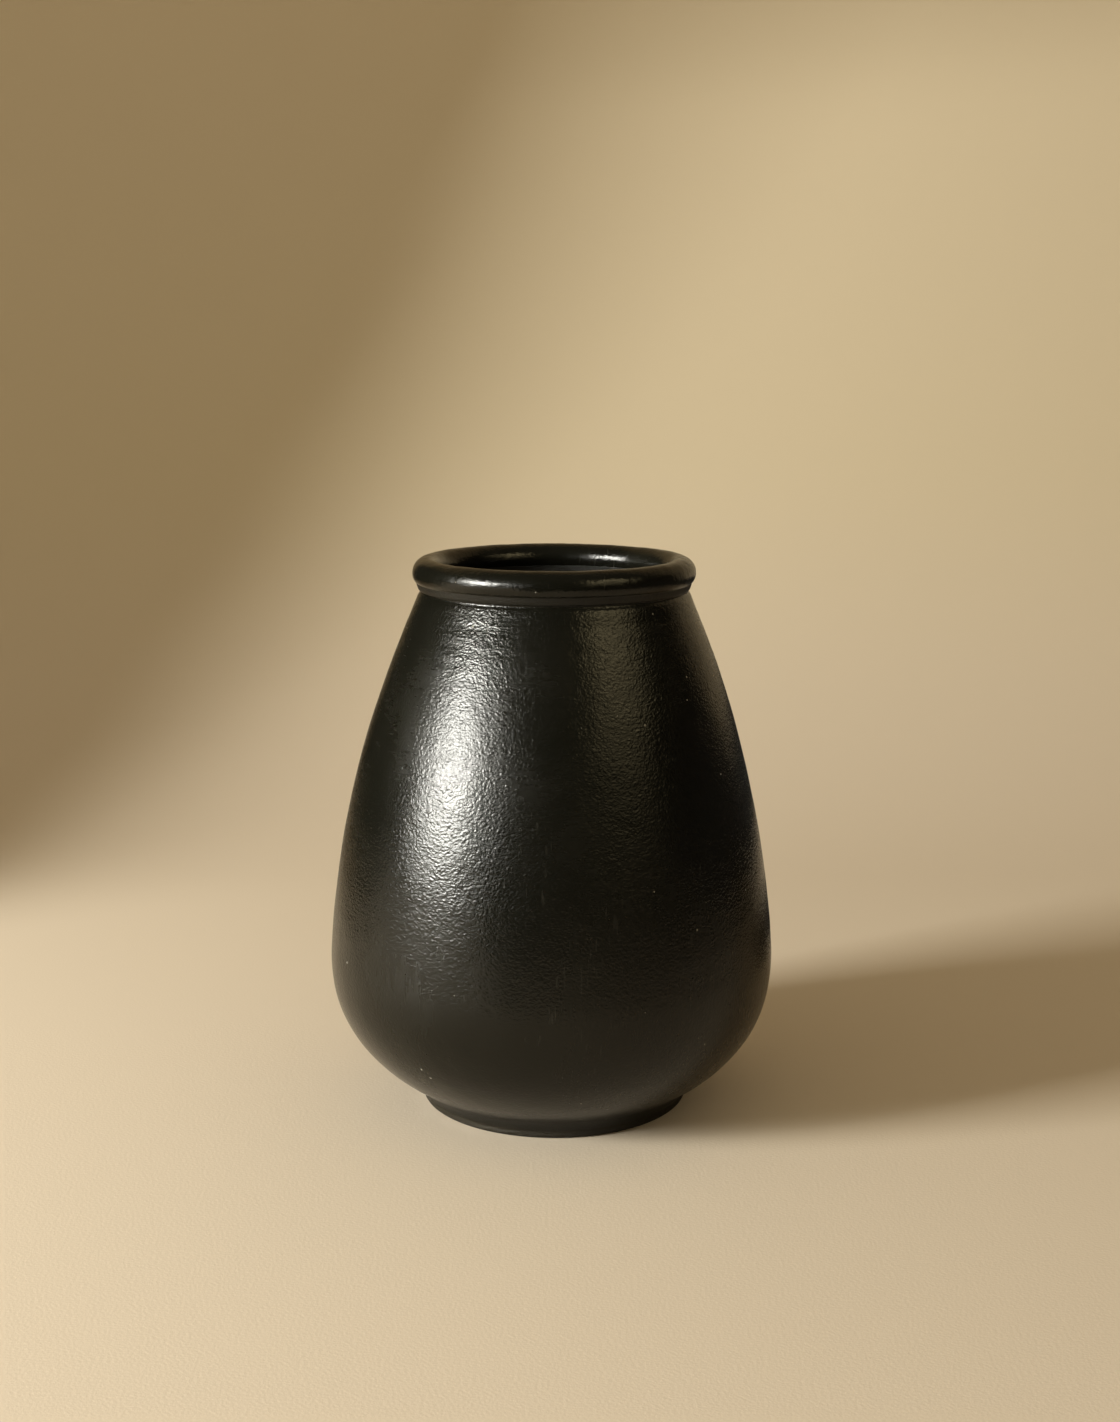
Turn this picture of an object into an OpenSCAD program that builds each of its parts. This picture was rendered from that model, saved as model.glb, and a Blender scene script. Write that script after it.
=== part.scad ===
// Black clay pot with a high ogive body, a low turned foot and a thick rolled lip.
// It is built the way the potter builds it: a slab, a foot ring and coils of clay,
// luted to one another on bevelled joints. Millimetres, +Z up, and the origin is
// the centre of the foot on the table.

/* [Body] */
// Diameter at the widest point of the belly
belly_d = 161.8; // [158:0.2:166]
// Height of the widest point above the table
belly_z = 54; // [53:0.5:57]
// Thickness of the wall
wall = 6.5; // [5:0.5:8]
// Radius of the short arc just above the belly
belly_arc_r = 75; // [60:1:90]
// Radius of the long arc up to the neck
shoulder_arc_r = 371; // [350:1:400]
// Outer height of the neck line, where the wall meets the collar
neck_z = 188.2; // [187:0.1:189]

/* [Foot] */
// Radius of the hollow between the bowl and the foot
cove_r = 4; // [3:0.5:4.5]
// Radius that rounds the edge the pot stands on
foot_edge_r = 1.6; // [0.8:0.1:2]
// Width of the foot ring
foot_w = 11; // [8:0.5:14]

/* [Lip] */
// Diameter of the roll of clay that makes the lip
roll_d = 10.6; // [10.2:0.1:11]
// Outer diameter of the lip
lip_d = 101.2; // [100.6:0.1:102]
// Overall height of the pot
height = 200; // [199:0.5:201]
// Outer height of the line between the collar and the roll
collar_z = 191.3; // [190.8:0.1:191.8]

/* [Joints] */
// Bevel of the joints between the wall coils
coil_bevel = 30; // [15:1:40]
// Bevel of the joint between the base slab and the bowl
slab_bevel = 45; // [40:1:50]
// Outer height of the joint on top of the lower bowl
bowl_top = 36; // [30:1:44]
// Outer height of the joint on top of the belly coil
belly_top = 72; // [64:1:80]
// Outer height of the joint on top of the lower wall coil
lower_wall_top = 108; // [100:1:116]
// Outer height of the joint on top of the upper wall coil
upper_wall_top = 146; // [138:1:154]

/* [Hidden] */
$fn = 180;

clay = [0.09, 0.085, 0.075];
clay_dull = [0.14, 0.13, 0.115];

// Largest turn, in degrees, between two points of a round outline
turn_step = 1.5;
// Radius that every joint line reaches out to
reach = belly_d;

belly = [belly_d / 2, belly_z];

// Radius between the inner bowl and the flat floor
floor_fillet_r = 25;
// How far the foot of the collar stands out from the wall
collar_step = 0.5;
// How far the roll stands out over the top of the collar
roll_overhang = 1.3;
// Where the inner wall meets the roll, in degrees below the roll's inmost point
throat_angle = 15;
// Bevels of the joints under the collar and under the roll
collar_bevel = 12;
roll_bevel = 6;

// Arcs below the belly, as [radius, degrees turned], from the belly down to the cove
bowl_arcs = [[60, 8.5], [45.7, 29.4], [61.5, 24.6]];
bowl_lean = bowl_arcs[0][1] + bowl_arcs[1][1] + bowl_arcs[2][1];

// Arcs above the belly: a short one, then a long one that ends at the neck line
belly_turn = 4;
shoulder_turn = asin(sin(belly_turn) + (neck_z - belly_z - belly_arc_r * sin(belly_turn)) / shoulder_arc_r)
              - belly_turn;
shoulder_arcs = [[belly_arc_r, belly_turn], [shoulder_arc_r, shoulder_turn]];

// A point reached by turning along an arc. lean is the slope in from the vertical at
// the start, and side is 1 for an arc that climbs and -1 for one that descends.
function arc_end(p, lean, r, turn, side) =
    [p[0] - r * (cos(lean) - cos(lean + turn)), p[1] + side * r * (sin(lean + turn) - sin(lean))];

function arc_points(p, lean, r, turn, side) =
    let (steps = ceil(abs(turn) / turn_step))
    [for (i = [1:steps]) arc_end(p, lean, r, turn * i / steps, side)];

// The points of a chain of arcs, each set in by inset from the outer surface
function chain(p, arcs, side, inset, lean = 0, i = 0) =
    i == len(arcs) ? [] :
    let (r = arcs[i][0] - inset, turn = arcs[i][1])
    concat(arc_points(p, lean, r, turn, side),
           chain(arc_end(p, lean, r, turn, side), arcs, side, inset, lean + turn, i + 1));

function reversed(points) = [for (i = [len(points) - 1:-1:0]) points[i]];
function last(points) = points[len(points) - 1];

// Outer surface from the belly up to the neck and down to the foot
outer_up = chain(belly, shoulder_arcs, 1, 0);
outer_bowl = chain(belly, bowl_arcs, -1, 0);
cove_points = arc_points(last(outer_bowl), bowl_lean, -cove_r, -bowl_lean, -1);
foot_top = last(cove_points);
foot_r = foot_top[0];
foot_h = foot_top[1];

// Inner surface: the same arcs set in by the wall, then a fillet into the flat floor
inner_belly = [belly[0] - wall, belly_z];
inner_up = chain(inner_belly, shoulder_arcs, 1, wall);
inner_bowl = chain(inner_belly, bowl_arcs, -1, wall);
floor_points = arc_points(last(inner_bowl), bowl_lean, floor_fillet_r, 90 - bowl_lean, -1);
floor_z = last(floor_points)[1];

// Lip: a roll on a short conical collar
roll_r = roll_d / 2;
roll_centre = [lip_d / 2 - roll_r, height - roll_r];
collar_low = [last(outer_up)[0] + collar_step, neck_z];
collar_high = [lip_d / 2 - roll_overhang, collar_z];
throat_high = [roll_centre[0] - roll_r * cos(throat_angle), roll_centre[1] - roll_r * sin(throat_angle)];

// The outer radius at a height, from the cove up to the neck
outer_line = concat(reversed(outer_bowl), [belly], outer_up);
function outer_r(z) = lookup(z, [for (p = outer_line) [p[1], p[0]]]);

// Joint lines: a point on the outer surface and a bevel that climbs inwards
slab_joint = [last(outer_bowl), slab_bevel];
bowl_joint = [[outer_r(bowl_top), bowl_top], coil_bevel];
belly_joint = [[outer_r(belly_top), belly_top], coil_bevel];
lower_wall_joint = [[outer_r(lower_wall_top), lower_wall_top], coil_bevel];
upper_wall_joint = [[outer_r(upper_wall_top), upper_wall_top], coil_bevel];
neck_joint = [collar_low, collar_bevel];
roll_joint = [collar_high, roll_bevel];
foot_joint = [[foot_r, foot_h], 0];

function joint_z(joint, r) = joint[0][1] + (joint[0][0] - r) * tan(joint[1]);

// The pot's whole wall and floor as one half section, without the foot ring
module wall_section() {
    polygon(concat(
        [[0, foot_h]], reversed(cove_points), reversed(outer_bowl), [belly], outer_up,
        reversed(inner_up), [inner_belly], inner_bowl, floor_points, [[0, floor_z]]));
}

// The collar and the roll as one half section
module lip_section() {
    polygon([last(outer_up), collar_low, collar_high, roll_centre, throat_high, last(inner_up)]);
    translate(roll_centre) circle(r = roll_r);
}

// The half plane above a joint line
module above(joint) {
    polygon([[0, joint_z(joint, 0)], [reach, joint_z(joint, reach)],
             [reach, 2 * height], [0, 2 * height]]);
}

// What lies between two joint lines
module between(low, high) {
    difference() {
        above(low);
        above(high);
    }
}

// One coil of clay: the part of the wall between two joints
module coil(low, high) {
    rotate_extrude() intersection() {
        wall_section();
        between(low, high);
    }
}

module foot_ring() {
    color(clay_dull) rotate_extrude() difference() {
        translate([foot_r - foot_w, 0]) square([foot_w, foot_h]);
        difference() {
            translate([foot_r - foot_edge_r, 0]) square(foot_edge_r);
            translate([foot_r - foot_edge_r, foot_edge_r]) circle(r = foot_edge_r);
        }
    }
}

module base_slab() {
    color(clay_dull) coil(foot_joint, slab_joint);
}

module lower_bowl() {
    color(clay) coil(slab_joint, bowl_joint);
}

module belly_coil() {
    color(clay) coil(bowl_joint, belly_joint);
}

module lower_wall_coil() {
    color(clay) coil(belly_joint, lower_wall_joint);
}

module upper_wall_coil() {
    color(clay) coil(lower_wall_joint, upper_wall_joint);
}

module shoulder_coil() {
    color(clay) coil(upper_wall_joint, neck_joint);
}

module neck_band() {
    color(clay) rotate_extrude() intersection() {
        union() {
            wall_section();
            lip_section();
        }
        between(neck_joint, roll_joint);
    }
}

module rim_roll() {
    color(clay) rotate_extrude() intersection() {
        lip_section();
        above(roll_joint);
    }
}

foot_ring();
base_slab();
lower_bowl();
belly_coil();
lower_wall_coil();
upper_wall_coil();
shoulder_coil();
neck_band();
rim_roll();
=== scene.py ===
"""A burnished black clay pot, standing on a pale sweep in soft side light.

The pot's skin is one surface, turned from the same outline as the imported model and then
given the unevenness of hand work. It is cut at the joints into the pieces of clay that the
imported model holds, and each piece is closed behind its skin.
"""
import math

import bpy
import numpy as np
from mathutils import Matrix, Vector


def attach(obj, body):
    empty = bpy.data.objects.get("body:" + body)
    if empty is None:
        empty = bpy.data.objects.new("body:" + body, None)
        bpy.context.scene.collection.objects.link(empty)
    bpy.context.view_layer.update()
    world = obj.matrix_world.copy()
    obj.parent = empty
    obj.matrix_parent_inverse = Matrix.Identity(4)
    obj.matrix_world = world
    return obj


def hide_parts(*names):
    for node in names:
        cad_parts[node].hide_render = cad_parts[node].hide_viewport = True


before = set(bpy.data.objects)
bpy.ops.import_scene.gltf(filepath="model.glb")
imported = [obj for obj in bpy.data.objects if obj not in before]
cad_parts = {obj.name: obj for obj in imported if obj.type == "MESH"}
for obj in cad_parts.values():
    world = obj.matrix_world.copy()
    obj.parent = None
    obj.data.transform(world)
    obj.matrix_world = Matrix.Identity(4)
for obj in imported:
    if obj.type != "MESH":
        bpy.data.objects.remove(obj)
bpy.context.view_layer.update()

MM = 0.001

# ---------------------------------------------------------------- outline, in millimetres

BELLY_R = 80.9
BELLY_Z = 54.0
WALL = 6.5
BOWL_ARCS = ((60.0, 8.5), (45.7, 29.4), (61.5, 24.6))
BELLY_ARC = (75.0, 4.0)
SHOULDER_ARC_R = 371.0
NECK_Z = 188.2
COVE_R = 4.0
FOOT_EDGE_R = 1.6
FOOT_W = 11.0
FLOOR_FILLET_R = 25.0
LIP_R = 50.6
ROLL_R = 5.3
HEIGHT = 200.0
COLLAR_Z = 191.3
COLLAR_LOW_STEP = 0.5
COLLAR_HIGH_INSET = 1.3
THROAT_ANGLE = 15.0

COIL_BEVEL = 30.0
SLAB_BEVEL = 45.0
COLLAR_BEVEL = 12.0
ROLL_BEVEL = 6.0
BOWL_TOP = 36.0
BELLY_TOP = 72.0
LOWER_WALL_TOP = 108.0
UPPER_WALL_TOP = 146.0

# Spacing of the outline's own points, and how far its corners are softened
OUTLINE_STEP = 0.05
CORNER_SOFTNESS = 0.5
FOOT_SOFTNESS = 3.0
# The worn part of the foot: how far in it starts, and the heights where it fades in and out
WORN_INSET = 0.5
WORN_FADE_IN = (1.0, 2.5)
WORN_FADE_OUT = (6, 14)


def ramp(x, low, high):
    """0 below low, 1 above high, and smooth between them."""
    t = np.clip((x - low) / (high - low), 0, 1)
    return t * t * (3 - 2 * t)


def arc(start, lean, radius, turn, climb):
    """Points on an arc that starts at start. lean is its slope in from the vertical there."""
    steps = max(2, math.ceil(abs(math.radians(turn) * radius) / OUTLINE_STEP))
    a = np.radians(lean + turn * np.linspace(0, 1, steps + 1))
    a0 = math.radians(lean)
    r = start[0] - radius * (math.cos(a0) - np.cos(a))
    z = start[1] + climb * radius * (np.sin(a) - math.sin(a0))
    return np.stack([r, z], 1)


def arc_chain(start, arcs, climb, inset=0.0):
    """Arcs that follow on from one another, each set in from the outer surface by inset."""
    points, lean = [np.array([start])], 0.0
    for radius, turn in arcs:
        points.append(arc(points[-1][-1], lean, radius - inset, turn, climb))
        lean += turn
    return np.concatenate(points)


def circle_arc(centre, radius, first, last):
    """Points on a circle between two angles in degrees, counted from straight out."""
    steps = math.ceil(abs(math.radians(last - first)) * radius / OUTLINE_STEP)
    a = np.radians(np.linspace(first, last, steps + 1))
    return np.stack([centre[0] + radius * np.cos(a), centre[1] + radius * np.sin(a)], 1)


def evenly(points, step):
    """The same polyline with points a fixed step apart."""
    gaps = np.hypot(*np.diff(points, axis=0).T)
    keep = np.concatenate([[True], gaps > 1e-9])
    points = points[keep]
    along = np.concatenate([[0], np.cumsum(np.hypot(*np.diff(points, axis=0).T))])
    at = np.linspace(0, along[-1], round(along[-1] / step) + 1)
    return np.stack([np.interp(at, along, points[:, k]) for k in (0, 1)], 1)


def softened(points, softness):
    """Rounds the corners of an evenly spaced polyline and leaves its ends where they are."""
    reach = round(4 * softness / OUTLINE_STEP)
    x = np.arange(-reach, reach + 1) * OUTLINE_STEP / softness
    weights = np.exp(-x * x / 2)
    weights /= weights.sum()
    out = points.copy()
    for k in (0, 1):
        padded = np.pad(points[:, k], reach, mode="reflect", reflect_type="odd")
        out[:, k] = np.convolve(padded, weights, mode="valid")
    return out


def pot_outline():
    """The half section as one line: out under the foot, up the outside, over and down inside."""
    shoulder_turn = math.degrees(math.asin(
        math.sin(math.radians(BELLY_ARC[1]))
        + (NECK_Z - BELLY_Z - BELLY_ARC[0] * math.sin(math.radians(BELLY_ARC[1]))) / SHOULDER_ARC_R
    )) - BELLY_ARC[1]
    wall_arcs = (BELLY_ARC, (SHOULDER_ARC_R, shoulder_turn))
    bowl_lean = sum(turn for _, turn in BOWL_ARCS)

    bowl = arc_chain((BELLY_R, BELLY_Z), BOWL_ARCS, -1)
    cove = arc(bowl[-1], bowl_lean, -COVE_R, -bowl_lean, -1)
    foot_r, foot_h = cove[-1]
    wall = arc_chain((BELLY_R, BELLY_Z), wall_arcs, 1)
    inner_belly = (BELLY_R - WALL, BELLY_Z)
    inner_wall = arc_chain(inner_belly, wall_arcs, 1, WALL)
    inner_bowl = arc_chain(inner_belly, BOWL_ARCS, -1, WALL)
    floor = arc(inner_bowl[-1], bowl_lean, FLOOR_FILLET_R, 90 - bowl_lean, -1)

    roll_centre = (LIP_R - ROLL_R, HEIGHT - ROLL_R)
    collar_low = (wall[-1][0] + COLLAR_LOW_STEP, NECK_Z)
    collar_high = (LIP_R - COLLAR_HIGH_INSET, COLLAR_Z)
    roll_start = math.degrees(
        math.atan2(collar_high[1] - roll_centre[1], collar_high[0] - roll_centre[0]))
    edge_centre = (foot_r - FOOT_EDGE_R, FOOT_EDGE_R)
    line = [
        [(0, foot_h), (foot_r - FOOT_W, foot_h), (foot_r - FOOT_W, 0)],
        circle_arc(edge_centre, FOOT_EDGE_R, -90, 0),
        cove[::-1], bowl[::-1], wall,
        [collar_low, collar_high],
        circle_arc(roll_centre, ROLL_R, roll_start, 180 + THROAT_ANGLE),
        inner_wall[::-1], inner_bowl, floor, [(0, floor[-1][1])],
    ]
    marks = {"recess_edge": (foot_r - FOOT_W, foot_h), "foot_top": (foot_r, foot_h)}
    joints = {
        "slab": (tuple(bowl[-1]), SLAB_BEVEL),
        "bowl": ((outer_radius(bowl, BOWL_TOP), BOWL_TOP), COIL_BEVEL),
        "belly": ((outer_radius(wall, BELLY_TOP), BELLY_TOP), COIL_BEVEL),
        "lower_wall": ((outer_radius(wall, LOWER_WALL_TOP), LOWER_WALL_TOP), COIL_BEVEL),
        "upper_wall": ((outer_radius(wall, UPPER_WALL_TOP), UPPER_WALL_TOP), COIL_BEVEL),
        "neck": (collar_low, COLLAR_BEVEL),
        "roll": (collar_high, ROLL_BEVEL),
    }
    points = evenly(np.concatenate([np.array(part, float) for part in line]), OUTLINE_STEP)
    crisp, worn = softened(points, CORNER_SOFTNESS), softened(points, FOOT_SOFTNESS)
    r, z = points.T
    near_foot = (r > foot_r - WORN_INSET) * (1 - ramp(z, *WORN_FADE_OUT)) * ramp(z, *WORN_FADE_IN)
    return crisp + (worn - crisp) * near_foot[:, None], marks, joints


def outer_radius(points, z):
    """The radius of a line of points at a height."""
    order = np.argsort(points[:, 1])
    return float(np.interp(z, points[order, 1], points[order, 0]))


def cut_marks(points, marks, joints):
    """Where each joint meets the line, as point numbers: first outside, then inside."""
    cuts = {}
    for name, at in marks.items():
        cuts[name] = int(np.argmin(np.hypot(points[:, 0] - at[0], points[:, 1] - at[1])))
    for name, (at, bevel) in joints.items():
        over = points[:, 1] - at[1] - (at[0] - points[:, 0]) * math.tan(math.radians(bevel))
        crossings = np.nonzero(np.diff(np.sign(over)) != 0)[0]
        crossings = crossings[crossings > cuts["foot_top"]]
        cuts[name + "_out"], cuts[name + "_in"] = int(crossings[0]), int(crossings[-1])
    cuts["start"], cuts["end"] = 0, len(points) - 1
    cuts["crest"] = int(np.argmax(points[:, 1]))
    return cuts


# ---------------------------------------------------------------- unevenness of hand work

GRADIENTS = np.array([
    (1, 1, 0), (-1, 1, 0), (1, -1, 0), (-1, -1, 0), (1, 0, 1), (-1, 0, 1),
    (1, 0, -1), (-1, 0, -1), (0, 1, 1), (0, -1, 1), (0, 1, -1), (0, -1, -1),
], float)


def corner_gradient(x, y, z, seed):
    """A pseudo-random gradient for each whole-number lattice corner."""
    h = (x * 73856093) ^ (y * 19349663) ^ (z * 83492791) ^ (seed * 2654435761)
    h = (h ^ (h >> 13)) * 1274126177
    h = (h ^ (h >> 16)) & 0xFFFFFFFF
    return GRADIENTS[h % 12]


def noise(points, size, seed):
    """Smooth noise of about -1 to 1. size is the feature size along x, y and z."""
    p = points / np.array(size, float)
    cell = np.floor(p).astype(np.int64)
    f = p - cell
    w = f * f * f * (f * (f * 6 - 15) + 10)
    total = np.zeros(p.shape[:-1])
    for dx in (0, 1):
        for dy in (0, 1):
            for dz in (0, 1):
                g = corner_gradient(cell[..., 0] + dx, cell[..., 1] + dy, cell[..., 2] + dz, seed)
                dot = (g * (f - (dx, dy, dz))).sum(-1)
                share = (
                    (w[..., 0] if dx else 1 - w[..., 0])
                    * (w[..., 1] if dy else 1 - w[..., 1])
                    * (w[..., 2] if dz else 1 - w[..., 2])
                )
                total += dot * share
    return total


# Points round the pot, and the gaps between its rows of points
SEGMENTS = 720
FINE, ROLL_FINE, FOOT_FINE, THROAT, COARSE, UNDER = 0.7, 0.45, 0.6, 1.0, 2.4, 1.6

# Layers of unevenness, each as depth, feature size along x, y and z, and seed
SWELLS = ((0.16, (36, 36, 30), 1), (0.07, (14, 14, 12), 2))
FACETS = ((0.028, (7, 7, 4.5), 3), (0.022, (4, 4, 10), 14))
PEBBLES = ((0.014, (2.8, 2.8, 2.4), 4), (0.010, (1.7, 1.7, 1.5), 5))
RIPPLES = ((0.09, (16, 16, 3.0), 6),)
DENTS = ((0.12, (11, 11, 9), 9), (0.07, (4.5, 4.5, 4), 10), (0.025, (2.2, 2.2, 2), 15))
FINGER_MARKS = ((0.32, (60, 60, 9), 11), (0.10, (9, 9, 5), 12))

# The lines above and below the collar, and how far the wall flares out under the lower one
NECK_LINE_DEPTH, NECK_LINE_WIDTH = 0.42, 0.75
ROLL_LINE_DEPTH, ROLL_LINE_WIDTH = 0.16, 0.5
NECK_FLARE = 0.26

# Pits and nicks: how many, and the ranges of their height, width and depth
PIT_SEED, PIT_COUNT = 41, 90
PIT_HEIGHTS, PIT_WIDTHS, PIT_DEPTHS = (12, 197), (0.5, 1.1), (0.04, 0.12)

# How far the body stands to the left of its foot and lip
LEAN_LEFT = 1.0


def row_numbers(cuts):
    """The outline points that become rows of the skin, closer where the eye falls."""
    stops = [
        ("start", UNDER), ("recess_edge", FOOT_FINE), ("foot_top", FINE), ("slab_out", FINE),
        ("bowl_out", FINE), ("belly_out", FINE), ("lower_wall_out", FINE), ("upper_wall_out", FINE),
        ("neck_out", ROLL_FINE), ("roll_out", ROLL_FINE), ("crest", ROLL_FINE), ("roll_in", ROLL_FINE),
        ("neck_in", THROAT), ("upper_wall_in", COARSE), ("lower_wall_in", COARSE),
        ("belly_in", COARSE), ("bowl_in", COARSE), ("slab_in", COARSE), ("end", None),
    ]
    rows = []
    for (first, gap), (last, _) in zip(stops, stops[1:]):
        a, b = cuts[first], cuts[last]
        count = max(1, round((b - a) * OUTLINE_STEP / gap))
        rows += [round(a + (b - a) * i / count) for i in range(count)]
    return np.array(rows + [cuts["end"]])


def layered(points, layers):
    """The sum of several layers of noise."""
    return sum(depth * noise(points, size, seed) for depth, size, seed in layers)


def hand_work(base, along, cuts):
    """How far the skin stands out from the turned outline, in millimetres, at each point."""
    z = base[..., 2]
    outside = (along > cuts["foot_top"]) & (along <= cuts["crest"])
    inside = along > cuts["crest"]
    lift = np.zeros(z.shape)

    wall = outside[:, None] * ramp(z, 2.0, 10.0)
    pebbles = layered(base, PEBBLES) * (0.3 + 0.7 * ramp(z, 30, 85))
    lift += wall * (layered(base, SWELLS) + layered(base, FACETS) + pebbles)

    near_neck = ramp(z, 158, 176) * (1 - ramp(z, 186, 188))
    flare = NECK_FLARE * ramp(z, 180.5, 187) * (1 + 0.6 * noise(base, (18, 18, 18), 13))
    lift += wall * (near_neck * layered(base, RIPPLES) + flare * (1 - ramp(z, 187, 189)))

    wander = 12.0 * noise(base, (30, 30, 30), 7)
    neck_gap = (along[:, None] - cuts["neck_out"] - wander) * OUTLINE_STEP
    roll_gap = (along[:, None] - cuts["roll_out"] - 0.5 * wander) * OUTLINE_STEP
    neck_depth = NECK_LINE_DEPTH + 0.2 * noise(base, (12, 12, 12), 8)
    lift -= outside[:, None] * neck_depth * np.exp(-((neck_gap / NECK_LINE_WIDTH) ** 2))
    lift -= outside[:, None] * ROLL_LINE_DEPTH * np.exp(-((roll_gap / ROLL_LINE_WIDTH) ** 2))

    lip = ramp(z, 191, 193)
    lift += lip * layered(base, DENTS)
    lift += inside[:, None] * (1 - lip) * layered(base, FINGER_MARKS)
    return lift


def press_pits(lift, base, outside):
    """Small pits and nicks, pressed into the outer skin."""
    rng = np.random.default_rng(PIT_SEED)
    for _ in range(PIT_COUNT):
        angle, z = rng.uniform(-math.pi, math.pi), rng.uniform(*PIT_HEIGHTS)
        width, depth = rng.uniform(*PIT_WIDTHS), rng.uniform(*PIT_DEPTHS)
        rows = np.nonzero(outside & (np.abs(base[:, 0, 2] - z) < 4 * width))[0]
        if len(rows) == 0:
            continue
        part = base[rows]
        r = np.hypot(part[..., 0], part[..., 1])
        turn = np.angle(np.exp(1j * (np.arctan2(part[..., 1], part[..., 0]) - angle)))
        gap = np.hypot(turn * r, part[..., 2] - z)
        lift[rows] -= depth * np.exp(-((gap / width) ** 2))


def pot_skin():
    """The whole skin as a grid of points and normals, one row to each chosen outline point."""
    points, marks, joints = pot_outline()
    cuts = cut_marks(points, marks, joints)
    rows = row_numbers(cuts)
    tangent = np.gradient(points, axis=0)
    tangent /= np.hypot(*tangent.T)[:, None]
    out = np.stack([tangent[:, 1], -tangent[:, 0]], 1)[rows]
    angle = np.linspace(0, 2 * math.pi, SEGMENTS, endpoint=False)
    c, s = np.cos(angle), np.sin(angle)
    r, z = points[rows].T
    base = np.stack([r[:, None] * c, r[:, None] * s, np.repeat(z[:, None], SEGMENTS, 1)], -1)
    facing = np.stack([out[:, :1] * c, out[:, :1] * s, np.repeat(out[:, 1:], SEGMENTS, 1)], -1)

    lift = hand_work(base, rows, cuts)
    press_pits(lift, base, (rows > cuts["foot_top"]) & (rows <= cuts["crest"]))
    skin = base + facing * lift[..., None]
    lean = LEAN_LEFT * ramp(skin[..., 2], 4, 48) * (1 - ramp(skin[..., 2], 96, 186))
    skin[..., 0] -= lean

    across = np.roll(skin, -1, 1) - np.roll(skin, 1, 1)
    up = np.gradient(skin, axis=0)
    normal = np.cross(across, up)
    length = np.linalg.norm(normal, axis=-1, keepdims=True)
    normal = np.where(length > 1e-9, normal / np.maximum(length, 1e-9), facing)
    row_at = {name: int(np.nonzero(rows == at)[0][0]) for name, at in cuts.items()}
    return skin * MM, normal, row_at


# ---------------------------------------------------------------- pieces of clay

OUTER, INNER, JOINT = 0, 1, 2
STRIP_ROWS = 4


def strip_between(first, last):
    """Rows across a joint face, between the skin rows at its two edges."""
    share = np.linspace(0, 1, STRIP_ROWS + 1)[1:-1]
    return [first + (last - first) * t for t in share]


def build_piece(name, sections, skin, normal, closed):
    """One closed piece. sections are (first row, last row, surface) stretches of the skin."""
    rings, ring_normals, kinds = [], [], []
    for number, (first, last, surface) in enumerate(sections):
        if number:
            strip = strip_between(rings[-1], skin[first])
            rings += strip
            ring_normals += [None] * len(strip)
            kinds += [JOINT] * (len(strip) + 1)
        rings += list(skin[first:last + 1])
        ring_normals += list(normal[first:last + 1])
        kinds += [surface] * (last - first)
    if closed:
        strip = strip_between(rings[-1], rings[0])
        rings += strip
        ring_normals += [None] * len(strip)
        kinds += [JOINT] * (len(strip) + 1)
    return ring_mesh(name, rings, ring_normals, kinds, closed)


def ring_mesh(name, rings, ring_normals, kinds, closed):
    """A mesh of rings joined by quads. An open stack of rings closes to a point at each end."""
    n, count = SEGMENTS, len(rings)
    around = np.arange(n)
    after = (around + 1) % n
    if closed:
        verts = np.concatenate(rings)
        starts = np.arange(count) * n
        pairs = [(starts[i], starts[(i + 1) % count]) for i in range(count)]
    else:
        verts = np.concatenate([rings[0].mean(0)[None], *rings[1:-1], rings[-1].mean(0)[None]])
        starts = 1 + np.arange(count - 2) * n
        pairs = list(zip(starts[:-1], starts[1:]))
    faces, materials = [], []
    if not closed:
        faces += [(0, 1 + b, 1 + a) for a, b in zip(after, around)]
        materials += [kinds[0]] * n
        kinds = kinds[1:]
    for (low, high), kind in zip(pairs, kinds):
        quads = np.stack([low + around, low + after, high + after, high + around], 1)
        faces += quads.tolist()
        materials += [kind] * n
    if not closed:
        top = len(verts) - 1
        faces += [(top, starts[-1] + a, starts[-1] + b) for a, b in zip(around, after)]
        materials += [kinds[-1]] * n
    mesh = bpy.data.meshes.new(name)
    mesh.from_pydata(verts.tolist(), [], faces)
    mesh.polygons.foreach_set("material_index", np.array(materials, np.int32))
    mesh.polygons.foreach_set("use_smooth", np.ones(len(faces), bool))
    shade_skin(mesh, ring_normals, closed)
    piece = bpy.data.objects.new(name, mesh)
    bpy.context.scene.collection.objects.link(piece)
    return piece


def shade_skin(mesh, ring_normals, closed):
    """Gives the skin its own normals, so that it shades as one surface across the joints."""
    rings = ring_normals if closed else ring_normals[1:-1]
    table = np.concatenate([np.zeros((SEGMENTS, 3)) if rows is None else rows for rows in rings])
    if not closed:
        table = np.concatenate([ring_normals[0].mean(0)[None], table, ring_normals[-1].mean(0)[None]])
    loops = np.empty(len(mesh.loops), np.int32)
    mesh.loops.foreach_get("vertex_index", loops)
    kind = np.empty(len(mesh.polygons), np.int32)
    mesh.polygons.foreach_get("material_index", kind)
    size = np.empty(len(mesh.polygons), np.int32)
    mesh.polygons.foreach_get("loop_total", size)
    on_skin = np.repeat(kind != JOINT, size)
    split = table[loops] * on_skin[:, None]
    edge_sides(mesh, kind)
    mesh.normals_split_custom_set(split.tolist())


def edge_sides(mesh, kind):
    """Marks the edges where skin meets a joint face as sharp."""
    edge_of = np.empty(len(mesh.loops), np.int32)
    mesh.loops.foreach_get("edge_index", edge_of)
    size = np.empty(len(mesh.polygons), np.int32)
    mesh.polygons.foreach_get("loop_total", size)
    is_joint = np.repeat(kind == JOINT, size)
    touches_joint = np.zeros(len(mesh.edges), bool)
    touches_skin = np.zeros(len(mesh.edges), bool)
    touches_joint[edge_of[is_joint]] = True
    touches_skin[edge_of[~is_joint]] = True
    mesh.edges.foreach_set("use_edge_sharp", touches_joint & touches_skin)


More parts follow.
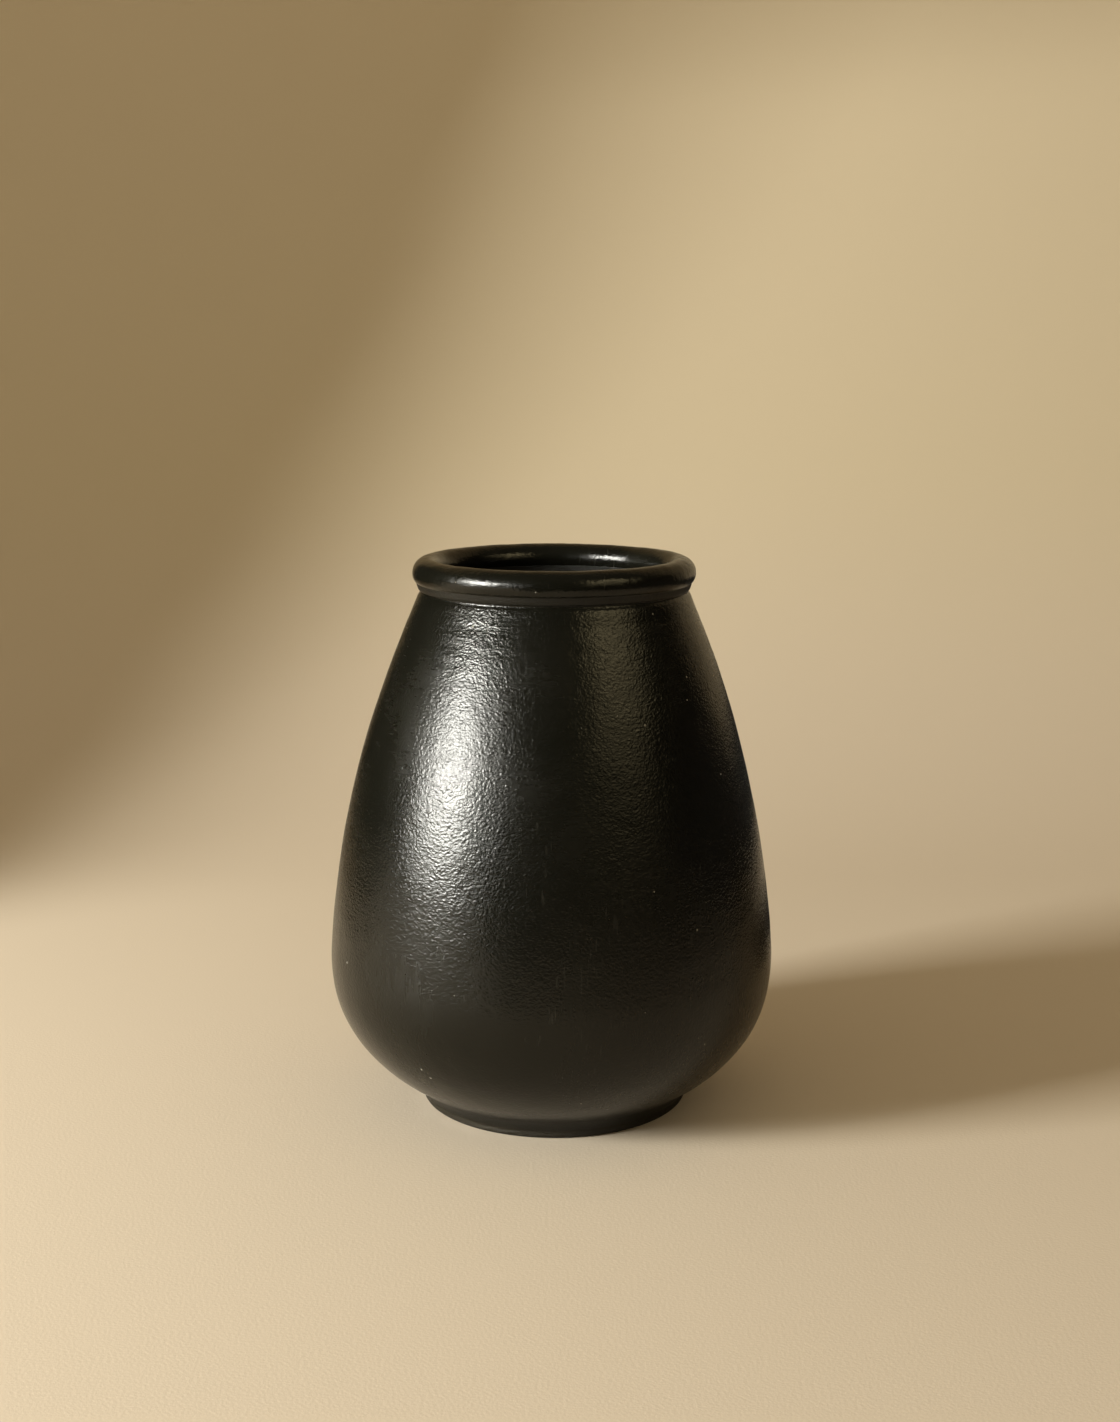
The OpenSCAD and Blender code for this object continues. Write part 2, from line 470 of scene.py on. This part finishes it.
def wall_piece(name, low, high, skin, normal, at):
    """A piece of the wall between two joints: its outer face, then its inner face."""
    sections = [
        (at[low + "_out"], at[high + "_out"], OUTER),
        (at[high + "_in"], at[low + "_in"], INNER),
    ]
    return build_piece(name, sections, skin, normal, True)


def make_pieces():
    """Every piece of clay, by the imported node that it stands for."""
    skin, normal, at = pot_skin()
    pieces = {
        "foot_ring": build_piece(
            "foot_ring_clay", [(at["recess_edge"], at["foot_top"], OUTER)], skin, normal, True),
        "base_slab": build_piece("base_slab_clay", [
            (at["start"], at["recess_edge"], INNER),
            (at["foot_top"], at["slab_out"], OUTER),
            (at["slab_in"], at["end"], INNER),
        ], skin, normal, False),
        "rim_roll": build_piece(
            "rim_roll_clay", [(at["roll_out"], at["roll_in"], OUTER)], skin, normal, True),
    }
    between = {
        "lower_bowl": ("slab", "bowl"),
        "belly_coil": ("bowl", "belly"),
        "lower_wall_coil": ("belly", "lower_wall"),
        "upper_wall_coil": ("lower_wall", "upper_wall"),
        "shoulder_coil": ("upper_wall", "neck"),
        "neck_band": ("neck", "roll"),
    }
    for node, (low, high) in between.items():
        pieces[node] = wall_piece(node + "_clay", low, high, skin, normal, at)
    return pieces


# ---------------------------------------------------------------- node helpers


def add(tree, kind, **settings):
    """Adds a shader node and sets its own properties."""
    node = tree.nodes.new(kind)
    for key, value in settings.items():
        setattr(node, key, value)
    return node


def put(node, **values):
    """Sets inputs by name, with underscores for spaces."""
    for key, value in values.items():
        node.inputs[key.replace("_", " ")].default_value = value
    return node


def join(tree, source, target):
    """Links an output to an input."""
    tree.links.new(source, target)


def maths(tree, operation, *values):
    """A Math node on up to three values or sockets. Returns its output."""
    node = add(tree, "ShaderNodeMath", operation=operation)
    for socket, value in zip(node.inputs, values):
        if isinstance(value, (int, float)):
            socket.default_value = value
        else:
            join(tree, value, socket)
    return node.outputs[0]


def spread(tree, value, low, high, to_low=0.0, to_high=1.0):
    """Maps low..high to to_low..to_high, clamped and smooth."""
    node = add(tree, "ShaderNodeMapRange", interpolation_type="SMOOTHSTEP")
    join(tree, value, node.inputs["Value"])
    put(node, From_Min=low, From_Max=high, To_Min=to_low, To_Max=to_high)
    return node.outputs["Result"]


def blend(tree, share, low, high):
    """Mixes two colours by share. A colour is three numbers or a socket."""
    node = add(tree, "ShaderNodeMix", data_type="RGBA")
    for socket, colour in ((node.inputs[6], low), (node.inputs[7], high)):
        if isinstance(colour, tuple):
            socket.default_value = (*colour, 1)
        else:
            join(tree, colour, socket)
    join(tree, share, node.inputs[0])
    return node.outputs[2]


def axes(tree, kind="Object"):
    """The X, Y and Z of the object's own coordinates, or of another kind."""
    place = add(tree, "ShaderNodeTexCoord")
    parts = add(tree, "ShaderNodeSeparateXYZ")
    join(tree, place.outputs[kind], parts.inputs[0])
    return parts.outputs


def stretched(tree, scale):
    """The object's own coordinates, scaled per axis. Features per metre."""
    place = add(tree, "ShaderNodeTexCoord")
    mapping = add(tree, "ShaderNodeMapping")
    mapping.inputs["Scale"].default_value = scale
    join(tree, place.outputs["Object"], mapping.inputs["Vector"])
    return mapping.outputs["Vector"]


def cloud(tree, vector, scale, detail=2.0, roughness=0.5):
    """A noise texture, from 0 to 1."""
    node = add(tree, "ShaderNodeTexNoise", noise_type="FBM", normalize=True)
    join(tree, vector, node.inputs["Vector"])
    put(node, Scale=scale, Detail=detail, Roughness=roughness)
    return node.outputs["Fac"]


def new_group(name, inputs, outputs):
    """An empty shader node group with value inputs and value outputs."""
    tree = bpy.data.node_groups.new(name, "ShaderNodeTree")
    for label, default in inputs.items():
        socket = tree.interface.new_socket(name=label, in_out="INPUT", socket_type="NodeSocketFloat")
        socket.default_value = default
    for label in outputs:
        tree.interface.new_socket(name=label, in_out="OUTPUT", socket_type="NodeSocketFloat")
    return tree, tree.nodes.new("NodeGroupInput").outputs, tree.nodes.new("NodeGroupOutput").inputs


def use_group(tree, group, **values):
    """Places a group with its own values. Returns its outputs."""
    node = add(tree, "ShaderNodeGroup")
    node.node_tree = group
    return put(node, **values).outputs


# ---------------------------------------------------------------- effects shared by the clays

# Heights in metres: where the skin is rubbed flatter, with its share there and above, where the
# strokes turn from upright to round the pot, and where the foot is scuffed, with what that adds
RUBBED = (0.010, 0.100, 0.35, 1.0)
STROKES_TURN = (0.045, 0.12)
SCUFFED = (0.003, 0.018, 0.22, 0.0)


def pebbled_skin_group():
    """Leathery skin of burnished clay: fine pebbles and the cracks between them, in millimetres."""
    tree, given, out = new_group("Pebbled skin", {"Pebble depth": 0.03, "Grain depth": 0.01}, ["Height"])
    coarse = cloud(tree, stretched(tree, (1, 1, 1.15)), 920, 1, 0.5)
    creases = cloud(tree, stretched(tree, (1, 1, 1.1)), 680, 1, 0.5)
    folded = maths(tree, "ABSOLUTE", maths(tree, "SUBTRACT", creases, 0.5))
    grain = cloud(tree, stretched(tree, (1, 1, 1)), 2200, 2, 0.6)
    skin = maths(tree, "ADD", coarse, maths(tree, "MULTIPLY", folded, 1.6))
    pebble = maths(tree, "MULTIPLY", skin, given["Pebble depth"])
    fine = maths(tree, "MULTIPLY", grain, given["Grain depth"])
    rubbed = spread(tree, axes(tree)["Z"], *RUBBED)
    join(tree, maths(tree, "MULTIPLY", maths(tree, "ADD", pebble, fine), rubbed), out["Height"])
    return tree


def burnish_group():
    """Strokes left by the burnishing stone: round the pot above, up and down below."""
    tree, given, out = new_group("Burnishing strokes", {"Depth": 0.01}, ["Height", "Polish"])
    round_pot = cloud(tree, stretched(tree, (0.18, 0.18, 1)), 700, 3, 0.6)
    up_pot = cloud(tree, stretched(tree, (1, 1, 0.12)), 520, 3, 0.6)
    upper = spread(tree, axes(tree)["Z"], *STROKES_TURN)
    mix = add(tree, "ShaderNodeMix", data_type="FLOAT")
    join(tree, upper, mix.inputs["Factor"])
    join(tree, up_pot, mix.inputs["A"])
    join(tree, round_pot, mix.inputs["B"])
    strokes = mix.outputs["Result"]
    join(tree, maths(tree, "MULTIPLY", strokes, given["Depth"]), out["Height"])
    join(tree, strokes, out["Polish"])
    return tree


def scratches_group():
    """Sparse hair scratches that run in several directions."""
    tree, given, out = new_group("Hair scratches", {"Amount": 0.5}, ["Mask"])
    total = None
    turns = ((0.3, 0.7, 0.2), (1.2, -0.4, 0.9), (-0.8, 0.5, 1.7))
    for turn in turns:
        place = add(tree, "ShaderNodeTexCoord")
        mapping = add(tree, "ShaderNodeMapping")
        mapping.inputs["Rotation"].default_value = turn
        mapping.inputs["Scale"].default_value = (1, 0.035, 0.12)
        join(tree, place.outputs["Object"], mapping.inputs["Vector"])
        lines = cloud(tree, mapping.outputs["Vector"], 900, 1, 0.4)
        hair = spread(tree, lines, 0.70, 0.76)
        total = hair if total is None else maths(tree, "MAXIMUM", total, hair)
    here = cloud(tree, stretched(tree, (1, 1, 1)), 40, 2)
    patchy = maths(tree, "MULTIPLY", total, spread(tree, here, 0.48, 0.6))
    join(tree, maths(tree, "MULTIPLY", patchy, given["Amount"]), out["Mask"])
    return tree


def specks_group():
    """Sparse, tiny pale specks of dust and mica."""
    tree, given, out = new_group("Dust specks", {"Share": 0.06}, ["Mask"])
    cells = add(tree, "ShaderNodeTexVoronoi", feature="F1")
    join(tree, stretched(tree, (1, 1, 1)), cells.inputs["Vector"])
    put(cells, Scale=330)
    parts = add(tree, "ShaderNodeSeparateColor")
    join(tree, cells.outputs["Color"], parts.inputs[0])
    chosen = maths(tree, "LESS_THAN", parts.outputs[0], given["Share"])
    size = maths(tree, "MULTIPLY", parts.outputs[1], 0.16)
    near = maths(tree, "LESS_THAN", cells.outputs["Distance"], size)
    join(tree, maths(tree, "MULTIPLY", chosen, near), out["Mask"])
    return tree


def smoke_group():
    """Broad clouds left by the smoky firing."""
    tree, given, out = new_group("Smoke clouds", {"Contrast": 1.0}, ["Cloud"])
    broad = cloud(tree, stretched(tree, (1, 1, 0.8)), 16, 4, 0.55)
    clear = spread(tree, broad, 0.36, 0.66)
    join(tree, maths(tree, "MULTIPLY", clear, given["Contrast"]), out["Cloud"])
    return tree


# ---------------------------------------------------------------- clays


CLAY_IOR = 1.36
DUST_COLOUR = (0.20, 0.19, 0.165)
SCRATCH_AMOUNT, SCRATCH_PALENESS, SCRATCH_DEPTH = 0.35, 0.12, 0.02
# What the smoke, the strokes and the specks add to the roughness, and what is taken off first
SMOKE_DULLS, STROKES_DULL, SPECKS_DULL, POLISH = 0.07, 0.10, 0.35, 0.05


def clay(name, groups, dark, light, roughness, depths, dust):
    """A black clay. depths are pebble, grain and stroke depths, in millimetres."""
    material = bpy.data.materials.new(name)
    material.use_nodes = True
    tree = material.node_tree
    shader = tree.nodes["Principled BSDF"]
    put(shader, IOR=CLAY_IOR)

    smoke = use_group(tree, groups["smoke"], Contrast=1.0)["Cloud"]
    skin = use_group(tree, groups["skin"], Pebble_depth=depths[0], Grain_depth=depths[1])["Height"]
    burnish = use_group(tree, groups["burnish"], Depth=depths[2])
    scratch = use_group(tree, groups["scratches"], Amount=SCRATCH_AMOUNT)["Mask"]
    speck = use_group(tree, groups["specks"], Share=dust)["Mask"]

    marks = maths(tree, "MAXIMUM", speck, maths(tree, "MULTIPLY", scratch, SCRATCH_PALENESS))
    colour = blend(tree, marks, blend(tree, smoke, dark, light), DUST_COLOUR)
    join(tree, colour, shader.inputs["Base Color"])

    rough = maths(tree, "MULTIPLY_ADD", smoke, SMOKE_DULLS, roughness - POLISH)
    rough = maths(tree, "MULTIPLY_ADD", burnish["Polish"], STROKES_DULL, rough)
    dull = maths(tree, "MULTIPLY_ADD", speck, SPECKS_DULL, rough)
    scuffed = spread(tree, axes(tree)["Z"], *SCUFFED)
    join(tree, maths(tree, "ADD", dull, scuffed), shader.inputs["Roughness"])

    height = maths(tree, "ADD", skin, burnish["Height"])
    cut = maths(tree, "MULTIPLY", scratch, SCRATCH_DEPTH)
    height = maths(tree, "SUBTRACT", height, cut)
    bump = add(tree, "ShaderNodeBump")
    put(bump, Strength=1.0, Distance=MM)
    join(tree, height, bump.inputs["Height"])
    join(tree, bump.outputs["Normal"], shader.inputs["Normal"])
    return material


BLACK, SMOKY_BLACK = (0.0042, 0.0042, 0.0027), (0.0060, 0.0056, 0.0036)


def make_clays():
    """The five clays, which share their groups and differ in their values."""
    groups = {
        "skin": pebbled_skin_group(),
        "burnish": burnish_group(),
        "scratches": scratches_group(),
        "specks": specks_group(),
        "smoke": smoke_group(),
    }
    return {
        "burnished": clay("Burnished black clay", groups, dark=BLACK, light=SMOKY_BLACK,
                          roughness=0.22, depths=(0.125, 0.020, 0.030), dust=0.05),
        "lip": clay("Polished lip clay", groups, dark=BLACK, light=SMOKY_BLACK,
                    roughness=0.20, depths=(0.080, 0.020, 0.015), dust=0.03),
        "inside": clay("Unburnished inner clay", groups,
                       dark=(0.0045, 0.0043, 0.0032), light=(0.0070, 0.0062, 0.0045),
                       roughness=0.62, depths=(0.12, 0.04, 0.02), dust=0.04),
        # The foot clay's olive-brown colour is a painted warm bounce from the floor; its wear is in its
        # roughness.
        "foot": clay("Worn foot clay with painted floor bounce", groups,
                     dark=(0.0070, 0.0052, 0.0018), light=(0.0105, 0.0075, 0.0028),
                     roughness=0.34, depths=(0.09, 0.03, 0.02), dust=0.06),
        "collar": clay("Unpolished collar clay", groups,
                       dark=(0.0040, 0.0040, 0.0028), light=(0.0060, 0.0054, 0.0036),
                       roughness=0.38, depths=(0.10, 0.03, 0.02), dust=0.03),
    }


OUTER_CLAY = {"foot_ring": "foot", "neck_band": "collar", "rim_roll": "lip"}


def dress(pieces, clays):
    """Materials, bodies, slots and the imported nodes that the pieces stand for."""
    for node, piece in pieces.items():
        outer = clays[OUTER_CLAY.get(node, "burnished")]
        for material in (outer, clays["inside"], clays["inside"]):
            piece.data.materials.append(material)
        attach(piece, "root")
        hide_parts(node)


# ---------------------------------------------------------------- stage, lights and camera

SWEEP_FRONT, SWEEP_FLAT_END, SWEEP_RISE_R = -9.0, 0.30, 0.85
SWEEP_HALF_WIDTH, SWEEP_TOP = 6.0, 3.0
# The paper on the floor and on the wall, and the heights between which it changes
FLOOR_PAPER, WALL_PAPER, PAPER_CHANGE = (0.77, 0.665, 0.555), (0.76, 0.655, 0.50), (0.0, 0.2)


def link_mesh(name, verts, faces, material):
    """A stage mesh with one material."""
    mesh = bpy.data.meshes.new(name)
    mesh.from_pydata(verts, [], faces)
    mesh.materials.append(material)
    piece = bpy.data.objects.new(name, mesh)
    bpy.context.scene.collection.objects.link(piece)
    return piece


def paper():
    """Matt paper with a faint grain, a little yellower on the wall than on the floor."""
    material = bpy.data.materials.new("Pale paper")
    material.use_nodes = True
    tree = material.node_tree
    shader = tree.nodes["Principled BSDF"]
    put(shader, Roughness=1, Specular_IOR_Level=0)
    climb = spread(tree, axes(tree)["Z"], *PAPER_CHANGE)
    join(tree, blend(tree, climb, FLOOR_PAPER, WALL_PAPER), shader.inputs["Base Color"])
    grain = cloud(tree, stretched(tree, (1, 1, 1)), 900, 2)
    bump = add(tree, "ShaderNodeBump")
    put(bump, Strength=0.15, Distance=0.0004)
    join(tree, grain, bump.inputs["Height"])
    join(tree, bump.outputs["Normal"], shader.inputs["Normal"])
    return material


def make_sweep():
    """A pale paper sweep: flat floor, a wide curve and a wall behind."""
    turn = np.radians(np.linspace(0, 90, 33))
    ys = np.concatenate([[SWEEP_FRONT], SWEEP_FLAT_END + SWEEP_RISE_R * np.sin(turn),
                         [SWEEP_FLAT_END + SWEEP_RISE_R]])
    zs = np.concatenate([[0], SWEEP_RISE_R * (1 - np.cos(turn)), [SWEEP_TOP]])
    verts = [(x, y, z) for y, z in zip(ys, zs) for x in (-SWEEP_HALF_WIDTH, SWEEP_HALF_WIDTH)]
    faces = [(2 * i, 2 * i + 1, 2 * i + 3, 2 * i + 2) for i in range(len(ys) - 1)]
    sweep = link_mesh("sweep", verts, faces, paper())
    sweep.data.polygons.foreach_set("use_smooth", [True] * len(faces))


def empty_material(name):
    """A material without nodes, and its node tree."""
    material = bpy.data.materials.new(name)
    material.use_nodes = True
    material.node_tree.nodes.clear()
    return material, material.node_tree


def show(tree, shader):
    """Sends a shader to the surface."""
    end = add(tree, "ShaderNodeOutputMaterial")
    join(tree, shader.outputs[0], end.inputs["Surface"])


def direction(azimuth, elevation):
    """A unit vector. Azimuth is counted from the front, towards +X."""
    a, e = math.radians(azimuth), math.radians(elevation)
    return Vector((math.sin(a) * math.cos(e), -math.cos(a) * math.cos(e), math.sin(e)))


KEY_AZIMUTH, KEY_ELEVATION, KEY_DISTANCE = -67, 14.5, 1.6
KEY_WIDTH, KEY_HEIGHT = 0.42, 0.48
KEY_RADIANCE = 68
KEY_COLOUR = (1.0, 0.985, 0.86)
SHEEN_COLOUR = (1.0, 0.985, 0.91)
KEY_AIM = Vector((0, 0, 0.1))
KEY_PLACE = KEY_AIM + direction(KEY_AZIMUTH, KEY_ELEVATION) * KEY_DISTANCE


def make_key():
    """The soft box on the left, as the light it sheds. Its strength is the radiance of its face."""
    data = bpy.data.lights.new("key", "AREA")
    data.shape = "RECTANGLE"
    data.size, data.size_y = KEY_WIDTH, KEY_HEIGHT
    data.energy = KEY_RADIANCE * math.pi * KEY_WIDTH * KEY_HEIGHT
    data.color = KEY_COLOUR
    light = bpy.data.objects.new("key", data)
    light.location = KEY_PLACE
    light.rotation_mode = "QUATERNION"
    light.rotation_quaternion = (KEY_PLACE - KEY_AIM).to_track_quat("Z", "Y")
    light.visible_camera = light.visible_glossy = False
    bpy.context.scene.collection.objects.link(light)


SHEEN_AZIMUTH, SHEEN_ELEVATION, SHEEN_DISTANCE = -63, 12.6, 1.68
SHEEN_HALF_WIDTH, SHEEN_HALF_HEIGHT, SHEEN_RADIANCE = 0.60, 0.42, 108
# How far the glow leans to the front as it climbs, and the reach and share of its dim wing
SHEEN_LEAN, WING_REACH, WING_SHARE = 0.22, 2.3, 0.06
# Where the glow fades, in halves of its size: sideways, into the wing, at its foot and at its top
CORE_FADE, WING_START, FOOT_FADE, TOP_FADE = (0.05, 1.0), (0.5, 0.8), (-0.78, 0.4), (0.5, 1.0)


def make_sheen():
    """The soft box as the pot reflects it: a large glow that fades out towards its edges."""
    material, tree = empty_material("Soft glow")
    at = axes(tree)
    lean = maths(tree, "MULTIPLY", at["Y"], SHEEN_LEAN)
    leaning = maths(tree, "SUBTRACT", at["X"], lean)
    core = spread(tree, maths(tree, "ABSOLUTE", leaning), *CORE_FADE, 1.0, 0.0)
    wing_fade = spread(tree, leaning, WING_START[1], WING_REACH, WING_SHARE, 0.0)
    wing = maths(tree, "MULTIPLY", spread(tree, leaning, *WING_START), wing_fade)
    across = maths(tree, "MAXIMUM", core, wing)
    rise = spread(tree, at["Y"], *FOOT_FADE)
    top = spread(tree, at["Y"], *TOP_FADE, SHEEN_RADIANCE, 0.0)
    glow = add(tree, "ShaderNodeEmission")
    put(glow, Color=(*SHEEN_COLOUR, 1))
    shape = maths(tree, "MULTIPLY", across, rise)
    join(tree, maths(tree, "MULTIPLY", shape, top), glow.inputs["Strength"])
    show(tree, glow)
    left, right = -1 - SHEEN_LEAN, WING_REACH + SHEEN_LEAN
    corners = [(left, -1, 0), (right, -1, 0), (right, 1, 0), (left, 1, 0)]
    sheen = link_mesh("sheen", corners, [(0, 1, 2, 3)], material)
    away = direction(SHEEN_AZIMUTH, SHEEN_ELEVATION)
    sheen.location = KEY_AIM + away * SHEEN_DISTANCE
    sheen.rotation_mode = "QUATERNION"
    sheen.rotation_quaternion = away.to_track_quat("Z", "Y")
    sheen.scale = (SHEEN_HALF_WIDTH, SHEEN_HALF_HEIGHT, 1)
    sheen.visible_camera = sheen.visible_diffuse = sheen.visible_shadow = False


NET_HEIGHT, NET_R, NET_CORE_R, NET_CORE_SHARE = 0.08, 0.85, 0.25, 0.15
NET_CORNERS = 48


def make_net():
    """A feathered net under the soft box, so that the floor below it doesn't burn out.

    It passes NET_CORE_SHARE of the light in the middle and all of it at the edge, and isn't seen."""
    material, tree = empty_material("Feathered net")
    place = add(tree, "ShaderNodeTexCoord")
    away = add(tree, "ShaderNodeVectorMath", operation="LENGTH")
    join(tree, place.outputs["Object"], away.inputs[0])
    mesh = add(tree, "ShaderNodeBsdfTransparent")
    passed = spread(tree, away.outputs["Value"], NET_CORE_R, NET_R, NET_CORE_SHARE, 1.0)
    join(tree, passed, mesh.inputs["Color"])
    show(tree, mesh)
    verts = [direction(360 * i / NET_CORNERS, 0) * NET_R for i in range(NET_CORNERS)]
    net = link_mesh("net", [tuple(v) for v in verts], [tuple(range(NET_CORNERS))], material)
    net.location = (KEY_PLACE.x, KEY_PLACE.y, NET_HEIGHT)
    net.visible_camera = net.visible_glossy = net.visible_diffuse = False


# The edge of the shade on the sweep, from the floor on the left, up the curve and across it
SHADE_EDGE = (
    (-3.0, 0.15, 0), (-0.60, 0.15, 0), (-0.26, 0.245, 0), (-0.225, 0.33, 0), (-0.195, 0.49, 0.02),
    (-0.145, 0.69, 0.095), (-0.07, 0.88, 0.23), (-0.015, 0.955, 0.31), (0.05, 1.065, 0.475),
    (0.12, 1.12, 0.60), (1.2, 1.15, 0.72), (1.2, 1.15, 3.0),
)
SHADE_FAR_LEFT = -6.0
# How far the flag stands from the key to the sweep, as a share: at y = 0 and per metre of y
FLAG_SHARE, FLAG_SHARE_STEP = 0.88, -0.26


def make_flag(card):
    """A curved card that shades the left of the sweep, cut so that its shadow ends at SHADE_EDGE.

    It only casts that shadow and is not seen itself."""
    verts = []
    for edge in SHADE_EDGE:
        share = FLAG_SHARE + FLAG_SHARE_STEP * edge[1]
        for point in (edge, (SHADE_FAR_LEFT, edge[1], edge[2])):
            verts.append(tuple(KEY_PLACE.lerp(Vector(point), share)))
    faces = [(2 * i, 2 * i + 2, 2 * i + 3, 2 * i + 1) for i in range(len(SHADE_EDGE) - 1)]
    flag = link_mesh("flag", verts, faces, card)
    flag.visible_camera = flag.visible_glossy = flag.visible_diffuse = False


def black_card():
    """Matt black card, for the flag and the screens."""
    card = bpy.data.materials.new("Black card")
    card.use_nodes = True
    put(card.node_tree.nodes["Principled BSDF"], Base_Color=(0.01, 0.01, 0.01, 1), Roughness=1)
    return card


# Upright dark screens round the pot: first and last azimuth, radius and height
SCREENS = ((-29, 122, 0.50, 0.19), (122, 165, 0.50, 0.13), (112, 165, 0.24, 0.03),
           (-152, -96, 0.62, 0.60), (46, 118, 1.95, 1.2))


def make_screens(card):
    """Dark screens that only the pot's reflections see. They keep its front and sides black."""
    for number, (first, last, radius, top) in enumerate(SCREENS):
        ends = [direction(azimuth, 0) * radius for azimuth in np.linspace(first, last, 25)]
        verts = [(end.x, end.y, z) for end in ends for z in (0.001, top)]
        faces = [(2 * i, 2 * i + 2, 2 * i + 3, 2 * i + 1) for i in range(len(ends) - 1)]
        screen = link_mesh(f"screen_{number}", verts, faces, card)
        screen.visible_camera = screen.visible_diffuse = screen.visible_shadow = False


SIDE_CARD_CORNERS = ((25, 16), (55, 11), (72, 36), (37, 46))
SIDE_CARD_DISTANCE = 1.6
SIDE_CARD_AIM = Vector((0, 0, 0.13))
SIDE_CARD_COLOUR = (1.0, 0.82, 0.45)
SIDE_CARD_LOW, SIDE_CARD_HIGH = 0.9, 5.0


def make_side_card():
    """A dim, warm panel on the right that shows as a soft upright patch in the burnished skin."""
    verts = [SIDE_CARD_AIM + direction(*corner) * SIDE_CARD_DISTANCE for corner in SIDE_CARD_CORNERS]
    material, tree = empty_material("Dim warm panel")
    glow = add(tree, "ShaderNodeEmission")
    put(glow, Color=(*SIDE_CARD_COLOUR, 1))
    climb = spread(tree, axes(tree)["Z"], verts[1].z, verts[3].z)
    squared = maths(tree, "MULTIPLY", climb, climb)
    strength = spread(tree, squared, 0, 1, SIDE_CARD_LOW, SIDE_CARD_HIGH)
    join(tree, strength, glow.inputs["Strength"])
    show(tree, glow)
    panel = link_mesh("side_card", [tuple(v) for v in verts], [(0, 1, 2, 3)], material)
    panel.visible_camera = panel.visible_diffuse = False


# The room as a fill light, as the pot reflects it, low down and overhead, and as the camera sees it:
# painted shade, the tone of the paper in shadow
ROOM_FILL = (0.34, 0.283, 0.180)
ROOM_LOW, ROOM_OVERHEAD = (0.033, 0.032, 0.020), (0.14, 0.12, 0.08)
ROOM_SEEN_PAINTED_SHADE = (0.262, 0.190, 0.102)


def make_world():
    """A room that fills the shadows, looks dim in the pot's skin and, to the camera, shows painted shade
    in the tone of the shaded paper.
    """
    world = bpy.data.worlds.new("room")
    bpy.context.scene.world = world
    world.use_nodes = True
    tree = world.node_tree
    background = tree.nodes["Background"]
    overhead = spread(tree, axes(tree, "Generated")["Z"], 0.3, 1.0)
    room = blend(tree, overhead, ROOM_LOW, ROOM_OVERHEAD)
    paths = add(tree, "ShaderNodeLightPath")
    fill = blend(tree, paths.outputs["Is Glossy Ray"], ROOM_FILL, room)
    # To the camera the room shows painted shade, the colour of the paper in shadow.
    seen = blend(tree, paths.outputs["Is Camera Ray"], fill, ROOM_SEEN_PAINTED_SHADE)
    join(tree, seen, background.inputs["Color"])


LENS = 50.63
CAMERA_PITCH = 10.67
CAMERA_PLACE = (0.00208, -0.7111, 0.2779)


def make_camera():
    """The camera, a little above the lip and tilted down at the pot."""
    data = bpy.data.cameras.new("camera")
    data.lens = LENS
    camera = bpy.data.objects.new("camera", data)
    camera.location = CAMERA_PLACE
    camera.rotation_euler = (math.radians(90 - CAMERA_PITCH), 0, 0)
    bpy.context.scene.collection.objects.link(camera)
    bpy.context.scene.camera = camera


make_camera()
dress(make_pieces(), make_clays())
make_sweep()
make_key()
make_net()
make_sheen()
card = black_card()
make_flag(card)
make_screens(card)
make_side_card()
make_world()
bpy.context.scene.view_settings.view_transform = "Standard"
